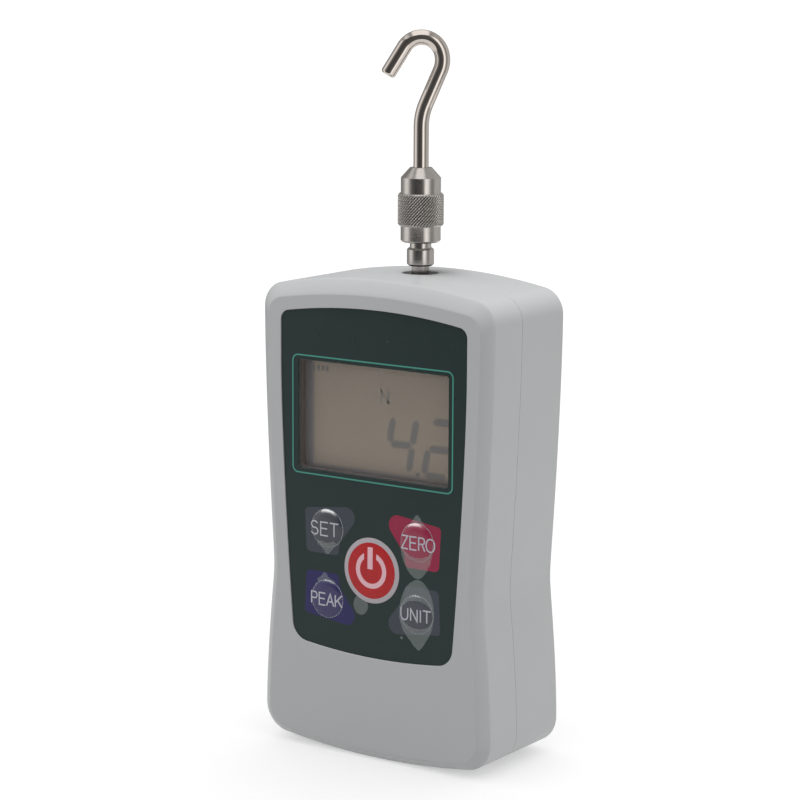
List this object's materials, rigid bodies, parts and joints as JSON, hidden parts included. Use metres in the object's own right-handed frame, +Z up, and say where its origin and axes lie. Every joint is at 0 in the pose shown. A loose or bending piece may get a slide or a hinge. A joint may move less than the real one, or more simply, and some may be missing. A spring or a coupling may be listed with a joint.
{
  "type": "hand dynamometer",
  "caption": "Hand-held digital push-pull dynamometer with a display, keys, and a swivel hook in a knurled chuck.",
  "frame": {"origin": "under the middle of the housing, on the surface that its base stands on", "axes": "+Z up along the spindle, +Y from the display towards the back, +X to the user's right"},
  "size_m": [0.0858, 0.0434, 0.2244],
  "materials": {
    "housing_plastic": "fine-textured light grey ABS",
    "panel_film": "printed dark green polyester film, semi-gloss",
    "key_red": "red printed dome with a light grey ring",
    "key_crimson": "crimson printed dome",
    "key_blue": "dark blue printed dome",
    "key_grey": "blue-grey printed dome",
    "clear_lens": "clear acrylic",
    "lcd_glass": "reflective display with grey segments",
    "dark_plastic": "black moulded plastic",
    "white_plastic": "natural moulded plastic",
    "foam_rubber": "black foam",
    "silicone": "pink conductive strip",
    "board_green": "green solder mask",
    "label_silver": "satin silver polyester",
    "screw_steel": "zinc-plated",
    "dark_steel": "black oxide",
    "nickel_steel": "nickel-plated, turned and knurled",
    "polished_steel": "polished stainless steel",
    "beam_aluminium": "milled",
    "brass": "plain",
    "cell_sleeve": "shrink sleeve",
    "lead_red": "insulated wire",
    "lead_blue": "insulated wire",
    "gauge_foil": "polyimide foil gauge"
  },
  "bodies": {
    "housing": {"front_cover": "housing_plastic", "rear_cover": "housing_plastic", "case_screws": "screw_steel", "rear_label": "label_silver", "overlay_film": "panel_film", "display_window": "clear_lens", "window_gasket": "foam_rubber", "lcd_panel": "lcd_glass", "lcd_holder": "dark_plastic", "lcd_connectors": "silicone", "backlight_plate": "white_plastic", "main_board": "board_green", "board_screws": "screw_steel", "tact_switches": "dark_plastic", "board_chips": "dark_plastic", "buzzer": "dark_plastic", "board_headers": "white_plastic", "load_cell": "beam_aluminium", "strain_gauges": "gauge_foil", "load_cell_bracket": "screw_steel", "load_cell_screws": "dark_steel", "bracket_screws": "screw_steel", "overload_screw": "dark_steel", "overload_nut": "screw_steel", "battery_cells": "cell_sleeve", "battery_tray": "dark_plastic", "battery_retainer": "screw_steel", "retainer_screws": "screw_steel", "power_jack": "dark_plastic", "jack_pin": "brass", "jack_nut": "screw_steel", "port_board": "board_green", "data_port": "screw_steel", "data_port_tongue": "dark_plastic", "stand_inserts": "brass", "battery_leads": "lead_red", "sensor_leads": "lead_blue"},
    "power_button": {"power_key": "key_red", "power_plunger": "white_plastic"},
    "set_button": {"set_key": "key_grey", "set_plunger": "white_plastic"},
    "zero_button": {"zero_key": "key_crimson", "zero_plunger": "white_plastic"},
    "peak_button": {"peak_key": "key_blue", "peak_plunger": "white_plastic"},
    "unit_button": {"unit_key": "key_grey", "unit_plunger": "white_plastic"},
    "spindle_shaft": {"spindle": "nickel_steel", "spindle_nut": "screw_steel"},
    "chuck_carrier": {"thrust_washer": "white_plastic"},
    "chuck": {"chuck_sleeve": "nickel_steel", "chuck_bush": "brass"},
    "swivel_hook": {"hook": "polished_steel"}
  },
  "joints": [
    {"name": "power_press", "type": "slide", "parent": "housing", "child": "power_button", "axis": [0, 1, 0], "range_m": [0, 0.0004], "stiffness_N_per_m": 5000},
    {"name": "set_press", "type": "slide", "parent": "housing", "child": "set_button", "axis": [0, 1, 0], "range_m": [0, 0.0004], "stiffness_N_per_m": 5000},
    {"name": "zero_press", "type": "slide", "parent": "housing", "child": "zero_button", "axis": [0, 1, 0], "range_m": [0, 0.0004], "stiffness_N_per_m": 5000},
    {"name": "peak_press", "type": "slide", "parent": "housing", "child": "peak_button", "axis": [0, 1, 0], "range_m": [0, 0.0004], "stiffness_N_per_m": 5000},
    {"name": "unit_press", "type": "slide", "parent": "housing", "child": "unit_button", "axis": [0, 1, 0], "range_m": [0, 0.0004], "stiffness_N_per_m": 5000},
    {"name": "spindle_travel", "type": "slide", "parent": "housing", "child": "spindle_shaft", "axis": [0, 0, 1], "range_m": [-0.0003, 0.0003], "stiffness_N_per_m": 160000, "deforming": ["load_cell", "strain_gauges"]},
    {"name": "chuck_lift", "type": "slide", "parent": "spindle_shaft", "child": "chuck_carrier", "axis": [0, 0, 1], "range_m": [0, 0.006]},
    {"name": "chuck_turn", "type": "hinge", "parent": "chuck_carrier", "child": "chuck", "pos_m": [0, 0.00415, 0.17], "axis": [0, 0, 1], "range_deg": [0, 2160]},
    {"name": "hook_swivel", "type": "hinge", "parent": "chuck", "child": "swivel_hook", "pos_m": [0, 0.00415, 0.18], "axis": [0, 0, 1], "continuous": true}
  ],
  "couplings": [
    {"joint": "chuck_turn", "follows": "chuck_lift", "rad_per_m": 6283.2}
  ]
}
